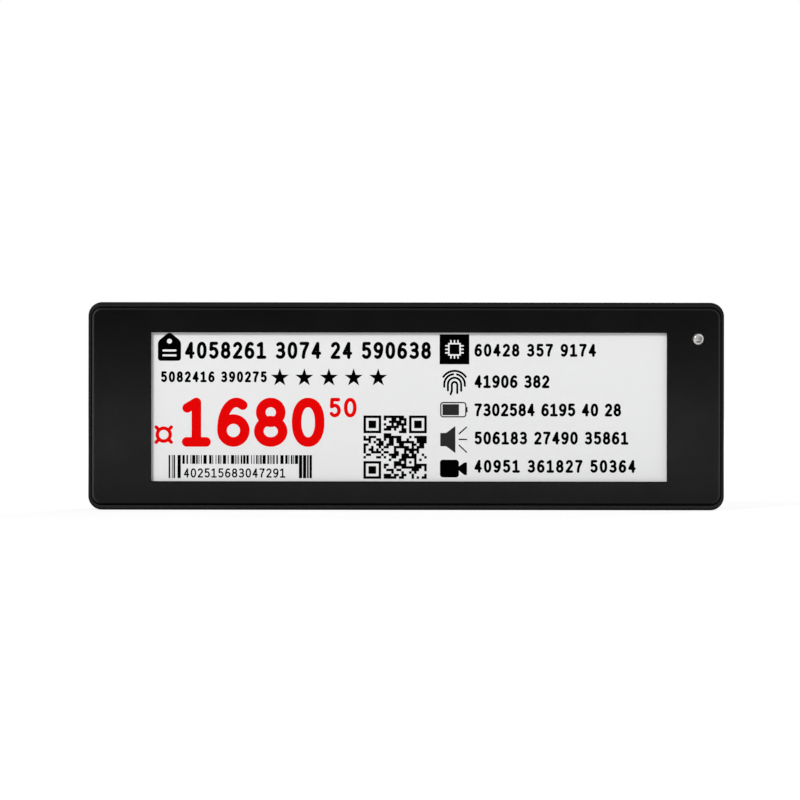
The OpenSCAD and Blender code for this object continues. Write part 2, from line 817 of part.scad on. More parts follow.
module battery_door() {
  plate_w = door_w - 2 * door_gap;
  plate_h = door_h - 2 * door_gap;
  edge_x = door_end_x - door_gap;
  color([0.13, 0.13, 0.135]) stand() difference() {
    union() {
      layer(0, door_t) round_rect(plate_w, plate_h, door_corner_r - door_gap);
      layer(door_t, door_t + pad_h) at_cells() circle(d = pad_d);
      for (y = [-tab_y, tab_y])
        translate([-edge_x, y - tab_w / 2, door_t]) {
          cube([tab_root, tab_w, back_wall + face_gap + tab_t - door_t]);
          translate([-tab_reach - door_gap, 0, back_wall + face_gap - door_t])
            cube([tab_root + tab_reach + door_gap, tab_w, tab_t]);
        }
      translate([edge_x, -catch_w / 2, detent_z]) rotate([-90, 0, 0]) cylinder(h = catch_w, r = catch_r);
    }
    for (side = [-1, 1])
      translate([edge_x - tongue_l, side * tongue_w / 2 - tongue_slit / 2, -over])
        cube([tongue_l + over, tongue_slit, door_t + 2 * over]);
    for (i = [0:grip_count - 1])
      translate([edge_x - grip_pitch * (i + 1) - grip_t, 0, 0]) rotate([90, 0, 0])
        cylinder(h = grip_w, r = grip_t / 2, center = true);
  }
}

rear_housing();
front_bezel();
window_gasket();
light_pipe();
display_film();
display_glass();
display_driver();
display_flex();
panel_tape();
panel_carrier();
main_board();
flex_connector();
radio_shield();
board_antenna();
crystal();
memory_chip();
power_inductor();
board_capacitors();
indicator_led();
setup_switch();
switch_plunger();
setup_button();
board_screws();
negative_contacts();
positive_contacts();
coin_cell_1();
coin_cell_2();
coin_cell_3();
battery_door();
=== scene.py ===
import math
import random

import bmesh
import bpy
from mathutils import Matrix, Vector


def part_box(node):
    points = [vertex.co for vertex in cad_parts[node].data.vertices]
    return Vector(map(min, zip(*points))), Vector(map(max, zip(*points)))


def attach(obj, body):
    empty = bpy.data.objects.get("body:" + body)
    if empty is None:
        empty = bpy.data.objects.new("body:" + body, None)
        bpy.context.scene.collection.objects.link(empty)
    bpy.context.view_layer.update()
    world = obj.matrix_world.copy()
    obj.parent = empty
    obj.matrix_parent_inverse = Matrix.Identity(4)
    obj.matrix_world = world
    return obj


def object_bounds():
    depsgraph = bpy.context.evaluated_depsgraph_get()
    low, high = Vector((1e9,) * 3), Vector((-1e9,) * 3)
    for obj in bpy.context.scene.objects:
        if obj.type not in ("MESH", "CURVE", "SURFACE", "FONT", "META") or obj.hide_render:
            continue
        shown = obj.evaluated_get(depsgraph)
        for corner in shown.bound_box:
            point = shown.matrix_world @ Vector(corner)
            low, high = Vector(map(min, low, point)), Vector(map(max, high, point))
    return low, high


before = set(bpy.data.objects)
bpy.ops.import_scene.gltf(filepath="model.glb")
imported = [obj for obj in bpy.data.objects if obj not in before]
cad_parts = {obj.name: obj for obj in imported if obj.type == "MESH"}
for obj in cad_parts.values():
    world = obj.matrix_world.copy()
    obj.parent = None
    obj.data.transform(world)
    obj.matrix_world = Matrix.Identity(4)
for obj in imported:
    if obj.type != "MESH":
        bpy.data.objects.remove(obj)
cadLow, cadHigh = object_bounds()
scene = bpy.context.scene
mm = 0.001  # the frame is in metres, the drawings are in millimetres
print("frame loaded:", len(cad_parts), "nodes")


# Camera, the photograph's straight front view
cameraSet = {
    "pixelsPerMm": 4.9145,
    "imagePixels": 800,
    "bodyCentrePixel": (406.2, 406.2),
    "lens": 135.0,
    "sensor": 36.0,
    "rollDegrees": 0.065,
    "clipNear": 0.01,
    "clipFar": 20,
}


def makeCamera(look):
    centre = (cadLow + cadHigh) / 2
    pixel = mm / look["pixelsPerMm"]
    half = look["imagePixels"] / 2
    distance = half * pixel * 2 * look["lens"] / look["sensor"]
    camera = bpy.data.objects.new("camera", bpy.data.cameras.new("camera"))
    scene.collection.objects.link(camera)
    camera.data.lens = look["lens"]
    camera.data.sensor_width = look["sensor"]
    camera.data.clip_start = look["clipNear"]
    camera.data.clip_end = look["clipFar"]
    camera.location = (
        centre.x + (half - look["bodyCentrePixel"][0]) * pixel,
        cadLow.y - distance,
        centre.z + (look["bodyCentrePixel"][1] - half) * pixel,
    )
    camera.rotation_euler = (math.radians(90), -math.radians(look["rollDegrees"]), 0)
    scene.camera = camera


makeCamera(cameraSet)
scene.view_settings.view_transform = "Standard"
print("camera in place")


# Helpers for node trees
def wire(tree, source, target):
    tree.links.new(source, target)


def emptyTree(owner):
    owner.use_nodes = True
    owner.node_tree.nodes.clear()
    return owner.node_tree


def newTree(name):
    material = bpy.data.materials.new(name)
    tree = emptyTree(material)
    out = tree.nodes.new("ShaderNodeOutputMaterial")
    shader = tree.nodes.new("ShaderNodeBsdfPrincipled")
    wire(tree, shader.outputs["BSDF"], out.inputs["Surface"])
    return material, tree, shader


def objectPoint(tree, centre=(0, 0, 0), scale=(1, 1, 1)):
    place = tree.nodes.new("ShaderNodeTexCoord")
    mapping = tree.nodes.new("ShaderNodeMapping")
    mapping.vector_type = "TEXTURE"
    mapping.inputs["Location"].default_value = centre
    mapping.inputs["Scale"].default_value = scale
    wire(tree, place.outputs["Object"], mapping.inputs["Vector"])
    return mapping.outputs["Vector"]


def axes(tree, point):
    split = tree.nodes.new("ShaderNodeSeparateXYZ")
    wire(tree, point, split.inputs[0])
    return [split.outputs[name] for name in "XYZ"]


def noise(tree, point, scale, detail=2.0, rough=0.5):
    node = tree.nodes.new("ShaderNodeTexNoise")
    node.inputs["Scale"].default_value = scale
    node.inputs["Detail"].default_value = detail
    node.inputs["Roughness"].default_value = rough
    wire(tree, point, node.inputs["Vector"])
    return node.outputs["Fac"]


def spread(tree, value, low, high, fromLow=0.3, fromHigh=0.7):
    node = tree.nodes.new("ShaderNodeMapRange")
    node.inputs["From Min"].default_value = fromLow
    node.inputs["From Max"].default_value = fromHigh
    node.inputs["To Min"].default_value = low
    node.inputs["To Max"].default_value = high
    wire(tree, value, node.inputs["Value"])
    return node.outputs["Result"]


def blendColour(tree, factor, first, second):
    node = tree.nodes.new("ShaderNodeMix")
    node.data_type = "RGBA"
    wire(tree, factor, node.inputs["Factor"])
    sockets = [socket for socket in node.inputs if socket.type == "RGBA"]
    for socket, colour in zip(sockets, (first, second)):
        if isinstance(colour, tuple):
            socket.default_value = (*colour, 1)
        else:
            wire(tree, colour, socket)
    return next(socket for socket in node.outputs if socket.type == "RGBA")


def maths(tree, operation, first, second=None):
    node = tree.nodes.new("ShaderNodeMath")
    node.operation = operation
    for index, value in enumerate((first, second)):
        if value is None:
            continue
        if isinstance(value, (int, float)):
            node.inputs[index].default_value = value
        else:
            wire(tree, value, node.inputs[index])
    return node.outputs["Value"]


def length(tree, across, upward):
    squares = [maths(tree, "POWER", side, 2) for side in (across, upward)]
    return maths(tree, "SQRT", maths(tree, "ADD", *squares))


def paint(tree, shader, mask, first, second):
    wire(tree, blendColour(tree, spread(tree, mask, 0, 1), first, second), shader.inputs["Base Color"])


def roughen(tree, shader, mask, look):
    wire(tree, spread(tree, mask, *look["roughness"]), shader.inputs["Roughness"])


# How finely edges are rounded in the shading, and how sharp an edge has to be to look worn
wearSet = {"samples": 6, "sharpness": (0.75, 0.97), "patches": (0.1, 1.0)}


def softNormal(tree, radius):
    soft = tree.nodes.new("ShaderNodeBevel")
    soft.samples = wearSet["samples"]
    soft.inputs["Radius"].default_value = radius
    return soft.outputs["Normal"]


def bump(tree, shader, height, depth, edge=0.0):
    node = tree.nodes.new("ShaderNodeBump")
    node.inputs["Distance"].default_value = depth
    wire(tree, height, node.inputs["Height"])
    if edge:
        wire(tree, softNormal(tree, edge), node.inputs["Normal"])
    wire(tree, node.outputs["Normal"], shader.inputs["Normal"])


def edgeMask(tree, radius, point, scale):
    plain = tree.nodes.new("ShaderNodeNewGeometry")
    dot = tree.nodes.new("ShaderNodeVectorMath")
    dot.operation = "DOT_PRODUCT"
    wire(tree, softNormal(tree, radius), dot.inputs[0])
    wire(tree, plain.outputs["Normal"], dot.inputs[1])
    rub = spread(tree, dot.outputs["Value"], 1, 0, *wearSet["sharpness"])
    patches = spread(tree, noise(tree, point, scale), *wearSet["patches"])
    return maths(tree, "MULTIPLY", rub, patches)


# A painted highlight: 1 along a line that runs round a node's front, a set way in from its outline,
# standing for a reflection on the node's rounded shoulder. The node's box also holds its snap beads,
# which stand past the outline above and below. lineSides is how strong the painted highlight is at
# the left and the right, and lineEnds how strong at the bottom and the top.
def paintedHighlightLine(tree, node, look):
    low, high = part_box(node)
    corner = look["lineCorner"]
    half = (high - low) / 2 - Vector((0, 0, look["beadHeight"]))
    x, y, z = axes(tree, objectPoint(tree, (low + high) / 2))
    across = maths(tree, "SUBTRACT", maths(tree, "ABSOLUTE", x), half.x - corner)
    upward = maths(tree, "SUBTRACT", maths(tree, "ABSOLUTE", z), half.z - corner)
    outside = length(tree, *[maths(tree, "MAXIMUM", side, 0) for side in (across, upward)])
    inside = maths(tree, "MINIMUM", maths(tree, "MAXIMUM", across, upward), 0)
    inward = maths(tree, "SUBTRACT", corner, maths(tree, "ADD", outside, inside))
    away = maths(tree, "ABSOLUTE", maths(tree, "SUBTRACT", inward, look["lineIn"]))
    line = spread(tree, away, 1, 0, 0, look["lineWidth"])
    atFront = spread(tree, y, 1, 0, -half.y, look["lineDepth"] - half.y)
    atSide = spread(tree, across, 0, 1, 0, corner)
    sides = spread(tree, x, *look["lineSides"], -half.x, half.x)
    ends = spread(tree, z, *look["lineEnds"], -half.z, half.z)
    sides = maths(tree, "MULTIPLY", sides, atSide)
    ends = maths(tree, "MULTIPLY", ends, maths(tree, "SUBTRACT", 1, atSide))
    strength = maths(tree, "ADD", sides, ends)
    return maths(tree, "MULTIPLY", maths(tree, "MULTIPLY", line, atFront), strength)


# Finishes
patchRatio = 3  # a plastic's roughness changes this many times faster than its colour


def mouldedPlastic(name, look):
    material, tree, shader = newTree(name)
    point = objectPoint(tree)
    clouds = noise(tree, point, look["cloudScale"], detail=4)
    body = blendColour(tree, spread(tree, clouds, 0, 1), look["colour"], look["cloudColour"])
    wearAndHighlight = edgeMask(tree, look["edge"], point, look["rubScale"])
    wearAndHighlight = maths(tree, "MULTIPLY", wearAndHighlight, look["rubAmount"])
    # On a node with a line, a painted highlight is added to the worn edges and takes the same colour
    if "highlightNode" in look:
        wearAndHighlight = maths(tree, "MAXIMUM", wearAndHighlight, paintedHighlightLine(tree, look["highlightNode"], look))
    wire(tree, blendColour(tree, wearAndHighlight, body, look["rubAndHighlightColour"]), shader.inputs["Base Color"])
    grain = noise(tree, point, look["grainScale"], detail=3, rough=0.6)
    patches = noise(tree, point, look["cloudScale"] * patchRatio, detail=3)
    roughen(tree, shader, patches, look)
    bump(tree, shader, grain, look["grainDepth"], look["edge"])
    shader.inputs["Specular IOR Level"].default_value = look["specular"]
    return material


def plainMetal(name, look):
    material, tree, shader = newTree(name)
    point = objectPoint(tree)
    stretched = objectPoint(tree, scale=look["brush"])
    clouds = noise(tree, point, look["cloudScale"], detail=4)
    paint(tree, shader, clouds, look["colour"], look["cloudColour"])
    lines = noise(tree, stretched, look["lineScale"], detail=3)
    roughen(tree, shader, lines, look)
    bump(tree, shader, lines, look["lineDepth"], look["edge"])
    shader.inputs["Metallic"].default_value = 1.0
    return material


housingLook = {
    "colour": (0.0045, 0.0045, 0.0047), "cloudColour": (0.0065, 0.0065, 0.0068),
    "cloudScale": 60, "roughness": (0.46, 0.52), "grainScale": 2600, "grainDepth": 0.00005,
    "edge": 0.00022, "rubScale": 420, "rubAmount": 0.15, "rubAndHighlightColour": (0.04, 0.04, 0.042),
    "specular": 0.08,
}
# The bezel's line settings draw a painted highlight along its front shoulder: strongest at the left,
# weaker at the right and the top, and almost none at the bottom
bezelLook = {
    "colour": (0.0006, 0.0006, 0.0006), "cloudColour": (0.0011, 0.0011, 0.0012),
    "cloudScale": 45, "roughness": (0.3, 0.37), "grainScale": 6500, "grainDepth": 0.000012,
    "edge": 0.00018, "rubScale": 380, "rubAmount": 0.08, "rubAndHighlightColour": (0.045, 0.045, 0.046),
    "specular": 0.05, "highlightNode": "front_bezel", "beadHeight": 0.00035, "lineCorner": 0.0021,
    "lineIn": 0.00034, "lineWidth": 0.00028, "lineDepth": 0.0004, "lineSides": (1.1, 0.6),
    "lineEnds": (0.05, 0.36),
}
carrierLook = {
    "colour": (0.62, 0.61, 0.58), "cloudColour": (0.68, 0.67, 0.64),
    "cloudScale": 80, "roughness": (0.45, 0.58), "grainScale": 3800, "grainDepth": 0.00002,
    "edge": 0.00012, "rubScale": 420, "rubAmount": 0.15, "rubAndHighlightColour": (0.75, 0.74, 0.71),
    "specular": 0.35,
}
connectorLook = {
    "colour": (0.58, 0.52, 0.4), "cloudColour": (0.64, 0.58, 0.46),
    "cloudScale": 200, "roughness": (0.35, 0.5), "grainScale": 7000, "grainDepth": 0.00001,
    "edge": 0.00006, "rubScale": 900, "rubAmount": 0.1, "rubAndHighlightColour": (0.72, 0.68, 0.6),
    "specular": 0.4,
}
chipLook = {
    "colour": (0.012, 0.012, 0.013), "cloudColour": (0.02, 0.02, 0.021),
    "cloudScale": 320, "roughness": (0.5, 0.68), "grainScale": 9000, "grainDepth": 0.000015,
    "edge": 0.00005, "rubScale": 900, "rubAmount": 0.1, "rubAndHighlightColour": (0.06, 0.06, 0.06),
    "specular": 0.3,
}
tinLook = {
    "colour": (0.56, 0.56, 0.55), "cloudColour": (0.68, 0.68, 0.66), "brush": (1, 1, 1),
    "cloudScale": 260, "lineScale": 1800, "roughness": (0.24, 0.42), "lineDepth": 0.000006,
    "edge": 0.00006,
}
screwLook = {
    "colour": (0.42, 0.42, 0.43), "cloudColour": (0.55, 0.55, 0.56), "brush": (1, 1, 1),
    "cloudScale": 500, "lineScale": 2600, "roughness": (0.26, 0.4), "lineDepth": 0.000005,
    "edge": 0.00005,
}
springLook = {
    "colour": (0.6, 0.57, 0.51), "cloudColour": (0.72, 0.69, 0.62), "brush": (1, 1, 8),
    "cloudScale": 220, "lineScale": 2400, "roughness": (0.18, 0.34), "lineDepth": 0.000004,
    "edge": 0.00006,
}
copperLook = {
    "colour": (0.72, 0.4, 0.2), "cloudColour": (0.84, 0.52, 0.3), "brush": (1, 1, 1),
    "cloudScale": 300, "lineScale": 2600, "roughness": (0.3, 0.46), "lineDepth": 0.000004,
    "edge": 0.00003,
}


def gasketFoam(look):
    material, tree, shader = newTree("gasketFoam")
    point = objectPoint(tree)
    cells = tree.nodes.new("ShaderNodeTexVoronoi")
    cells.inputs["Scale"].default_value = look["cellScale"]
    wire(tree, point, cells.inputs["Vector"])
    pores = cells.outputs["Distance"]
    # Painted shade: the pores are painted darker than the foam's skin, darkest in their hollows
    wire(tree, blendColour(tree, pores, look["pit"], look["skin"]), shader.inputs["Base Color"])
    wire(tree, spread(tree, pores, *look["roughness"], 0, 1), shader.inputs["Roughness"])
    bump(tree, shader, pores, look["depth"])
    return material


gasketLook = {"cellScale": 5200, "pit": (0.004, 0.004, 0.004), "skin": (0.02, 0.02, 0.021),
              "roughness": (0.8, 0.95), "depth": 0.00005}


def displayPaper(look):
    material, tree, shader = newTree("displayPaper")
    point = objectPoint(tree)
    grains = noise(tree, point, look["grainScale"], rough=0.7)
    clouds = noise(tree, point, look["cloudScale"], detail=3)
    fine = blendColour(tree, spread(tree, grains, 0, 1), look["dark"], look["light"])
    wire(tree, blendColour(tree, spread(tree, clouds, 0, look["cloudAmount"]), fine, look["tint"]),
         shader.inputs["Base Color"])
    roughen(tree, shader, grains, look)
    bump(tree, shader, grains, look["depth"])
    shader.inputs["Specular IOR Level"].default_value = look["specular"]
    return material


paperLook = {"grainScale": 9000, "cloudScale": 35, "dark": (0.755, 0.757, 0.757),
             "light": (0.80, 0.802, 0.802), "tint": (0.765, 0.768, 0.775), "cloudAmount": 0.6,
             "roughness": (0.5, 0.62), "depth": 0.000004, "specular": 0.12}


def clearLens(look):
    material, tree, shader = newTree("clearLens")
    low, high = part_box("light_pipe")
    centre = (low + high) / 2 + Vector(look["shift"])
    point = objectPoint(tree, centre)
    clouds = noise(tree, point, look["cloudScale"], detail=3)
    across, _, upward = axes(tree, point)
    radius = length(tree, across, upward)
    shadeSlope = maths(tree, "SUBTRACT", upward, across)
    # Painted shade: the middle of the lens darker towards the lower right, lighter towards the upper
    # left
    shadedInner = blendColour(tree, spread(tree, shadeSlope, 0, 1, *look["shadeSlope"]), look["dark"], look["light"])
    # Painted highlight: a pale ring near the lens's edge, for light caught in its rim
    highlightRing = blendColour(tree, spread(tree, clouds, 0, 1), look["highlightRing"], look["highlightRingCloud"])
    face = blendColour(tree, spread(tree, radius, 0, 1, *look["highlightRingFrom"]), shadedInner, highlightRing)
    # Painted shade: the lens's outer edge dark like the shadow in the gap round it
    wire(tree, blendColour(tree, spread(tree, radius, 0, 1, *look["gapShadeFrom"]), face, look["rim"]),
         shader.inputs["Base Color"])
    roughen(tree, shader, clouds, look)
    bump(tree, shader, clouds, look["depth"])
    shader.inputs["Transmission Weight"].default_value = look["transmission"]
    shader.inputs["IOR"].default_value = look["ior"]
    return material


# From its ring radius outwards the lens has a pale painted highlight ring, and from its rim radius
# outwards a dark painted shade like the shadow in the gap round it. Inside the ring, painted shade
# makes the lens darker towards the lower right and lighter towards the upper left.
# shift moves the middle of both to where the photograph shows it.
lensLook = {"cloudScale": 900, "highlightRing": (0.84, 0.83, 0.82), "highlightRingCloud": (0.92, 0.91, 0.9),
            "highlightRingFrom": (0.00074, 0.00084), "dark": (0.05, 0.047, 0.045), "light": (0.42, 0.41, 0.4),
            "gapShadeFrom": (0.00108, 0.00115), "rim": (0.02, 0.02, 0.02), "shift": (-0.00007, 0, 0.00005),
            "shadeSlope": (-0.0009, 0.0004), "roughness": (0.12, 0.2), "depth": 0.00001,
            "transmission": 0.12, "ior": 1.49}


def panelGlass(look):
    material, tree, shader = newTree("panelGlass")
    point = objectPoint(tree)
    clouds = noise(tree, point, look["cloudScale"], detail=3)
    paint(tree, shader, clouds, look["colour"], look["cloudColour"])
    roughen(tree, shader, clouds, look)
    bump(tree, shader, clouds, look["depth"])
    shader.inputs["Transmission Weight"].default_value = look["transmission"]
    return material


glassLook = {"cloudScale": 150, "colour": (0.06, 0.075, 0.075), "cloudColour": (0.09, 0.11, 0.11),
             "roughness": (0.03, 0.09), "depth": 0.000003, "transmission": 0.3}


def flexFilm(look):
    material, tree, shader = newTree("flexFilm")
    point = objectPoint(tree)
    tracks = tree.nodes.new("ShaderNodeTexWave")
    tracks.wave_type = "BANDS"
    tracks.bands_direction = "X"
    tracks.inputs["Scale"].default_value = look["tracks"]
    wire(tree, point, tracks.inputs["Vector"])
    lines = spread(tree, tracks.outputs["Fac"], 0, 1, *look["trackEdge"])
    wire(tree, blendColour(tree, lines, look["film"], look["copper"]), shader.inputs["Base Color"])
    clouds = noise(tree, point, look["cloudScale"], detail=3)
    roughen(tree, shader, clouds, look)
    bump(tree, shader, lines, look["depth"])
    return material


flexLook = {"tracks": 380, "trackEdge": (0.35, 0.65), "film": (0.36, 0.13, 0.02),
            "copper": (0.56, 0.26, 0.06), "cloudScale": 300, "roughness": (0.22, 0.36), "depth": 0.00001}


def fibreTape(look):
    material, tree, shader = newTree("fibreTape")
    point = objectPoint(tree, scale=look["fibreShape"])
    fibres = noise(tree, point, look["fibreScale"], detail=4, rough=0.65)
    paint(tree, shader, fibres, look["dark"], look["light"])
    roughen(tree, shader, fibres, look)
    bump(tree, shader, fibres, look["depth"])
    return material


tapeLook = {"fibreShape": (6, 1, 1), "fibreScale": 2400, "dark": (0.6, 0.56, 0.44),
            "light": (0.74, 0.7, 0.58), "roughness": (0.55, 0.75), "depth": 0.00002}


def solderMask(look):
    material, tree, shader = newTree("solderMask")
    point = objectPoint(tree)
    flat = objectPoint(tree, scale=look["flatten"])
    turned = tree.nodes.new("ShaderNodeVectorRotate")
    turned.rotation_type = "X_AXIS"
    turned.inputs["Angle"].default_value = math.radians(90)
    wire(tree, flat, turned.inputs["Vector"])
    tracks = tree.nodes.new("ShaderNodeTexBrick")
    tracks.inputs["Scale"].default_value = look["trackScale"]
    tracks.inputs["Mortar Size"].default_value = look["trackWidth"]
    tracks.inputs["Brick Width"].default_value = look["trackLength"]
    tracks.inputs["Row Height"].default_value = look["trackPitch"]
    wire(tree, turned.outputs["Vector"], tracks.inputs["Vector"])
    clouds = noise(tree, point, look["cloudScale"], detail=3)
    mask = blendColour(tree, spread(tree, clouds, 0, 1), look["mask"], look["maskLight"])
    routed = blendColour(tree, tracks.outputs["Fac"], mask, look["track"])
    vias = tree.nodes.new("ShaderNodeTexVoronoi")
    vias.inputs["Scale"].default_value = look["viaScale"]
    wire(tree, point, vias.inputs["Vector"])
    dots = spread(tree, vias.outputs["Distance"], 1, 0, *look["viaEdge"])
    wire(tree, blendColour(tree, dots, routed, look["via"]), shader.inputs["Base Color"])
    wire(tree, dots, shader.inputs["Metallic"])
    roughen(tree, shader, clouds, look)
    bump(tree, shader, maths(tree, "ADD", tracks.outputs["Fac"], dots), look["depth"])
    return material


boardLook = {"trackScale": 300, "trackWidth": 0.03, "trackLength": 0.9, "trackPitch": 0.22,
             "flatten": (1, 1000, 1), "cloudScale": 180, "mask": (0.008, 0.09, 0.03),
             "maskLight": (0.012, 0.12, 0.045), "track": (0.02, 0.2, 0.08), "viaScale": 420,
             "viaEdge": (0.11, 0.1265), "via": (0.62, 0.6, 0.55), "roughness": (0.22, 0.34),
             "depth": 0.00002}


def ceramicBody(name, look):
    material, tree, shader = newTree(name)
    point = objectPoint(tree)
    speckle = noise(tree, point, look["speckleScale"], detail=4, rough=0.7)
    paint(tree, shader, speckle, look["dark"], look["light"])
    roughen(tree, shader, speckle, look)
    bump(tree, shader, speckle, look["depth"], look["edge"])
    return material


ferriteLook = {"speckleScale": 4200, "dark": (0.035, 0.035, 0.037), "light": (0.085, 0.085, 0.088),
               "roughness": (0.5, 0.7), "depth": 0.00002, "edge": 0.00006}
capacitorLook = {"speckleScale": 5200, "dark": (0.3, 0.19, 0.1), "light": (0.42, 0.28, 0.16),
                 "roughness": (0.35, 0.5), "depth": 0.00001, "edge": 0.00004}
ledLook = {"speckleScale": 4800, "dark": (0.68, 0.67, 0.6), "light": (0.8, 0.79, 0.74),
           "roughness": (0.3, 0.45), "depth": 0.00001, "edge": 0.00004}


def turnedCan(node, look):
    material, tree, shader = newTree("turnedCan_" + node)
    low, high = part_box(node)
    centre = (low + high) / 2
    point = objectPoint(tree, centre)
    across, _, upward = axes(tree, point)
    ringPlace = tree.nodes.new("ShaderNodeCombineXYZ")
    wire(tree, length(tree, across, upward), ringPlace.inputs["X"])
    rings = noise(tree, ringPlace.outputs["Vector"], look["ringScale"], detail=5, rough=0.6)
    clouds = noise(tree, point, look["cloudScale"], detail=4)
    paint(tree, shader, clouds, look["colour"], look["cloudColour"])
    roughen(tree, shader, rings, look)
    bump(tree, shader, rings, look["ringDepth"], look["edge"])
    shader.inputs["Metallic"].default_value = 1.0
    return material


cellLook = {"ringScale": 3400, "cloudScale": 120, "colour": (0.62, 0.61, 0.59),
            "cloudColour": (0.72, 0.71, 0.69), "roughness": (0.24, 0.34), "ringDepth": 0.0000035,
            "edge": 0.0001}


def dress(node, material):
    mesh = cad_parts[node].data
    mesh.materials.clear()
    mesh.materials.append(material)


housingPlastic = mouldedPlastic("housingPlastic", housingLook)
bezelPlastic = mouldedPlastic("bezelPlastic", bezelLook)
chipEpoxy = mouldedPlastic("chipEpoxy", chipLook)
connectorPlastic = mouldedPlastic("connectorPlastic", connectorLook)
tinPlate = plainMetal("tinPlate", tinLook)
springPlate = plainMetal("springPlate", springLook)
nodeFinishes = {
    "rear_housing": housingPlastic,
    "battery_door": housingPlastic,
    "front_bezel": bezelPlastic,
    "setup_button": bezelPlastic,
    "window_gasket": gasketFoam(gasketLook),
    "light_pipe": clearLens(lensLook),
    "display_film": displayPaper(paperLook),
    "display_glass": panelGlass(glassLook),
    "display_driver": chipEpoxy,
    "memory_chip": chipEpoxy,
    "setup_switch": chipEpoxy,
    "display_flex": flexFilm(flexLook),
    "panel_tape": fibreTape(tapeLook),
    "panel_carrier": mouldedPlastic("carrierPlastic", carrierLook),
    "main_board": solderMask(boardLook),
    "flex_connector": connectorPlastic,
    "switch_plunger": connectorPlastic,
    "radio_shield": tinPlate,
    "crystal": tinPlate,
    "board_antenna": plainMetal("antennaCopper", copperLook),
    "power_inductor": ceramicBody("ferriteBody", ferriteLook),
    "board_capacitors": ceramicBody("capacitorBody", capacitorLook),
    "indicator_led": ceramicBody("ledBody", ledLook),
    "board_screws": plainMetal("screwSteel", screwLook),
    "negative_contacts": springPlate,
    "positive_contacts": springPlate,
}
coinCells = [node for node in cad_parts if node.startswith("coin_cell")]
for node in coinCells:
    nodeFinishes[node] = turnedCan(node, cellLook)
for node, finish in nodeFinishes.items():
    dress(node, finish)
print("finishes on:", len(nodeFinishes), "nodes")


# Inks, thin closed layers on the film's front
def inkFinish(name, look):
    material, tree, shader = newTree(name)
    grains = noise(tree, objectPoint(tree), look["grainScale"], rough=0.7)
    paint(tree, shader, grains, look["colour"], look["speckle"])
    roughen(tree, shader, grains, look)
    shader.inputs["Specular IOR Level"].default_value = look["specular"]
    return material


inkLook = {"grainScale": 9000, "roughness": (0.55, 0.7), "specular": 0}
inkColours = {
    "inkBlack": {"colour": (0.0002, 0.0002, 0.0002), "speckle": (0.001, 0.001, 0.001)},
    "inkRed": {"colour": (0.72, 0.001, 0.001), "speckle": (0.79, 0.003, 0.003)},
    "inkGrey": {"colour": (0.02, 0.02, 0.02), "speckle": (0.028, 0.028, 0.028)},
    "inkWhite": {"colour": (0.77, 0.77, 0.77), "speckle": (0.82, 0.82, 0.82)},
}
inks = {name: inkFinish(name, {**inkLook, **colours}) for name, colours in inkColours.items()}

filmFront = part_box("display_film")[0].y
labelMiddle = (cadLow + cadHigh) / 2
inkSink = 0.000005  # how deep the ink's back lies in the film
inkRise = 0.000012  # how far its front stands proud
upright = Matrix.Rotation(math.radians(90), 4, "X")  # stands the drawing up to face the viewer


# bmesh operators give new elements no fixed order, so each mesh is put in order by place
orderWeights = Vector((1, 1000, 1000000))


def sortElements(drawing):
    def order(spot):
        return spot.dot(orderWeights)

    drawing.verts.sort(key=lambda vert: order(vert.co))
    drawing.edges.sort(key=lambda edge: order(edge.verts[0].co + edge.verts[1].co))
    drawing.faces.sort(key=lambda face: order(face.calc_center_median()))


def meshObject(name, drawing):
    sortElements(drawing)
    mesh = bpy.data.meshes.new(name)
    drawing.to_mesh(mesh)
    drawing.free()
    made = bpy.data.objects.new(name, mesh)
    scene.collection.objects.link(made)
    return made


# A drawing is a bmesh in millimetres, x right and y up, z from 0 at its back to 1 at its front
def standUp(name, drawing, material, depth, place):
    bmesh.ops.transform(drawing, matrix=Matrix.Diagonal((mm, mm, depth, 1)), verts=drawing.verts)
    bmesh.ops.transform(drawing, matrix=Matrix.Translation(place) @ upright, verts=drawing.verts)
    made = meshObject(name, drawing)
    made.data.materials.append(material)
    return made


def inkPiece(name, drawing, ink, layers=1):
    place = (labelMiddle.x, filmFront + inkSink, labelMiddle.z)
    piece = standUp(name, drawing, inks[ink], inkSink + inkRise * layers, place)
    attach(piece, "label")


def pour(part, drawing):
    mesh = bpy.data.meshes.new("part")
    part.to_mesh(mesh)
    part.free()
    drawing.from_mesh(mesh)
    bpy.data.meshes.remove(mesh)


def newVerts(made):
    return [v for v in made["geom"] if isinstance(v, bmesh.types.BMVert)]


def thicken(part):
    made = bmesh.ops.extrude_face_region(part, geom=part.faces[:])
    bmesh.ops.translate(part, vec=(0, 0, 1), verts=newVerts(made))
    bmesh.ops.recalc_face_normals(part, faces=part.faces[:])


def addBar(drawing, left, right, low, high):
    made = bmesh.ops.create_cube(drawing, size=1)
    size = Matrix.Diagonal((right - left, high - low, 1, 1))
    place = Matrix.Translation(((left + right) / 2, (low + high) / 2, 0.5))
    bmesh.ops.transform(drawing, matrix=place @ size, verts=made["verts"])


def addDisc(drawing, x, y, radius, segments=24):
    made = bmesh.ops.create_cone(drawing, cap_ends=True, segments=segments, radius1=radius,
                                 radius2=radius, depth=1)
    bmesh.ops.translate(drawing, vec=(x, y, 0.5), verts=made["verts"])


cornerSteps = 6  # edges in a rounded corner


def addShape(drawing, outline, corner=0.0):
    part = bmesh.new()
    part.faces.new([part.verts.new((x, y, 0)) for x, y in outline])
    if corner:
        bmesh.ops.bevel(part, geom=part.verts[:], offset=corner, affect="VERTICES",
                        segments=cornerSteps, profile=0.5, material=-1)
    thicken(part)
    pour(part, drawing)


